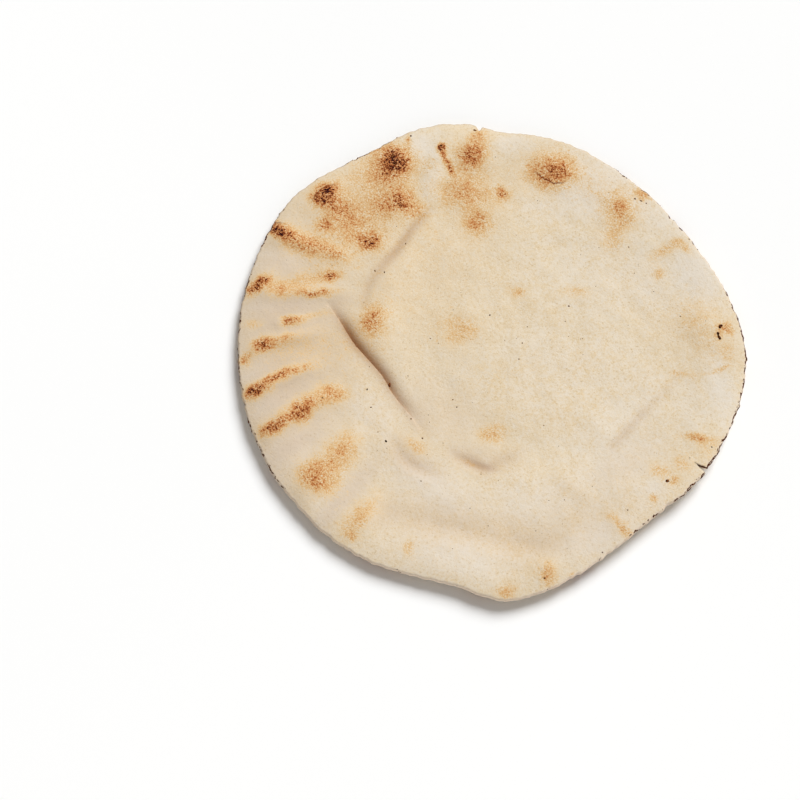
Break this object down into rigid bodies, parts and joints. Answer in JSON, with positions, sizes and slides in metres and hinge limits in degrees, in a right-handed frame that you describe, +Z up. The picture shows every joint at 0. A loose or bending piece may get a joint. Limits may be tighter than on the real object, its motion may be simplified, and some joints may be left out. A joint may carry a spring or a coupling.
{
  "type": "pita bread",
  "caption": "Large thin round pita lying flat, its pocket collapsed, with toasted blisters, a long curved crease and a slightly curled rim.",
  "frame": {"origin": "on the surface that the bread lies on, under the middle of its bounding box", "axes": "+Z up through the crust, +X to the right and +Y away, with the toasted ridges at the left of the rim (-X)"},
  "size_m": [0.2558, 0.2574, 0.0094],
  "materials": {
    "crust": "matte"
  },
  "bodies": {
    "root": {"bread": "crust"}
  },
  "joints": []
}
